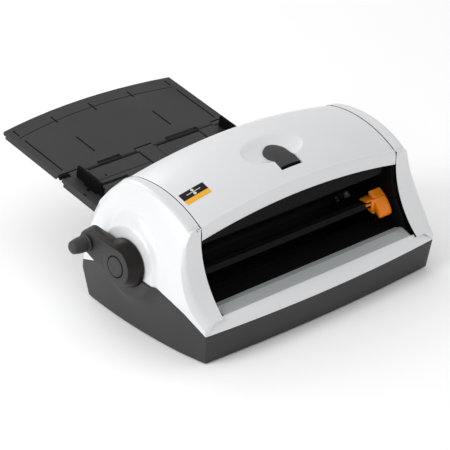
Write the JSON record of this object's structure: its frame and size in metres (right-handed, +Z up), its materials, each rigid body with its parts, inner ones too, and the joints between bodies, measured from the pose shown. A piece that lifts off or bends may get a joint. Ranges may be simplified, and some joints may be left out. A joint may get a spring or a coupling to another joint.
{
  "type": "roll laminator",
  "caption": "Hand-cranked roll laminator with an arched housing, open front throat with a sliding cutter, hinged lid with release button, side crank and folding rear feed tray.",
  "frame": {"origin": "centre of the whole machine's footprint, crank and feed tray included, at the level its feet stand on", "axes": "+Z up, +Y towards the rear feed tray, +X to the right seen from the open front"},
  "size_m": [0.3787, 0.3924, 0.169],
  "materials": {
    "silver_plastic": "satin metallic grey moulding",
    "charcoal_plastic": "fine-textured dark grey moulding",
    "black_plastic": "smooth black moulding",
    "black_steel": "black painted sheet",
    "steel": "plain ground steel",
    "rubber": "matt",
    "roller_rubber": "ground silicone rubber",
    "gear_plastic": "natural acetal",
    "film": "clear film, tightly wound",
    "core_card": "wound card tube",
    "smoked": "smoked clear plastic",
    "orange_plastic": "glossy orange moulding",
    "badge": "printed plate, no lettering"
  },
  "bodies": {
    "chassis": {"base_pan": "charcoal_plastic", "base_feet": "rubber", "bottom_screws": "steel", "left_fairing": "silver_plastic", "right_fairing": "silver_plastic", "front_bezel": "silver_plastic", "exit_shelf": "silver_plastic", "rear_cover": "silver_plastic", "left_frame": "black_steel", "right_frame": "black_steel", "tie_rods": "steel", "throat_floor": "black_plastic", "cutter_bed": "black_plastic", "cutter_rail": "black_steel", "crank_bush": "black_plastic", "lid_hinge_pins": "steel", "feed_table": "charcoal_plastic", "tray_hinge_pin": "steel", "cartridge_frame": "charcoal_plastic", "roller_bushes": "steel"},
    "crank": {"crank_arm": "black_plastic", "crank_cap": "black_plastic", "crank_shaft": "steel", "shaft_clip": "steel", "knob_pin": "steel", "upper_roller_shaft": "steel", "upper_roller_sleeve": "roller_rubber", "upper_roller_gear": "gear_plastic"},
    "knob": {"crank_knob": "black_plastic"},
    "lower_roller": {"lower_roller_shaft": "steel", "lower_roller_sleeve": "roller_rubber", "lower_roller_gear": "gear_plastic"},
    "upper_film": {"upper_film_core": "core_card", "upper_film_roll": "film"},
    "lower_film": {"lower_film_core": "core_card", "lower_film_roll": "film"},
    "lid": {"lid_shell": "silver_plastic", "smoked_guard": "smoked", "badge_plate": "badge", "latch_spring": "steel"},
    "button": {"latch_button": "charcoal_plastic", "latch_hook": "charcoal_plastic"},
    "cutter": {"cutter_handle": "orange_plastic", "cutter_blade": "steel"},
    "tray": {"tray_extension": "charcoal_plastic"},
    "guide_left": {"left_edge_guide": "black_plastic"},
    "guide_right": {"right_edge_guide": "black_plastic"}
  },
  "joints": [
    {"name": "crank_spin", "type": "hinge", "parent": "chassis", "child": "crank", "pos_m": [-0.13, -0.08452, 0.081], "axis": [1, 0, 0], "continuous": true},
    {"name": "knob_spin", "type": "hinge", "parent": "crank", "child": "knob", "pos_m": [-0.175, -0.04219, 0.09298], "axis": [1, 0, 0], "continuous": true},
    {"name": "lower_roller_spin", "type": "hinge", "parent": "chassis", "child": "lower_roller", "pos_m": [0.02, -0.08452, 0.055], "axis": [1, 0, 0], "continuous": true},
    {"name": "upper_film_spin", "type": "hinge", "parent": "chassis", "child": "upper_film", "pos_m": [0.02, -0.04452, 0.112], "axis": [1, 0, 0], "continuous": true},
    {"name": "lower_film_spin", "type": "hinge", "parent": "chassis", "child": "lower_film", "pos_m": [0.02, -0.04452, 0.032], "axis": [1, 0, 0], "continuous": true},
    {"name": "lid_open", "type": "hinge", "parent": "chassis", "child": "lid", "pos_m": [0.02, -0.00552, 0.093], "axis": [-1, 0, 0], "range_deg": [0, 65]},
    {"name": "button_press", "type": "slide", "parent": "lid", "child": "button", "axis": [0, 0, -1], "range_m": [0, 0.003], "stiffness_N_per_m": 400, "springref_m": -0.002, "deforming": ["latch_spring"]},
    {"name": "cutter_slide", "type": "slide", "parent": "chassis", "child": "cutter", "axis": [-1, 0, 0], "range_m": [0, 0.223]},
    {"name": "tray_fold", "type": "hinge", "parent": "chassis", "child": "tray", "pos_m": [0.02, 0.08954, 0.09726], "axis": [1, 0, 0], "range_deg": [0, 95]},
    {"name": "guide_right_slide", "type": "slide", "parent": "chassis", "child": "guide_right", "axis": [-1, 0, 0], "range_m": [0, 0.045]},
    {"name": "guide_left_slide", "type": "slide", "parent": "chassis", "child": "guide_left", "axis": [1, 0, 0], "range_m": [0, 0.045]}
  ],
  "couplings": [
    {"joint": "lower_roller_spin", "follows": "crank_spin", "ratio": -1},
    {"joint": "upper_film_spin", "follows": "crank_spin", "ratio": 0.5864},
    {"joint": "lower_film_spin", "follows": "crank_spin", "ratio": -0.6789},
    {"joint": "guide_left_slide", "follows": "guide_right_slide", "ratio": 1}
  ]
}
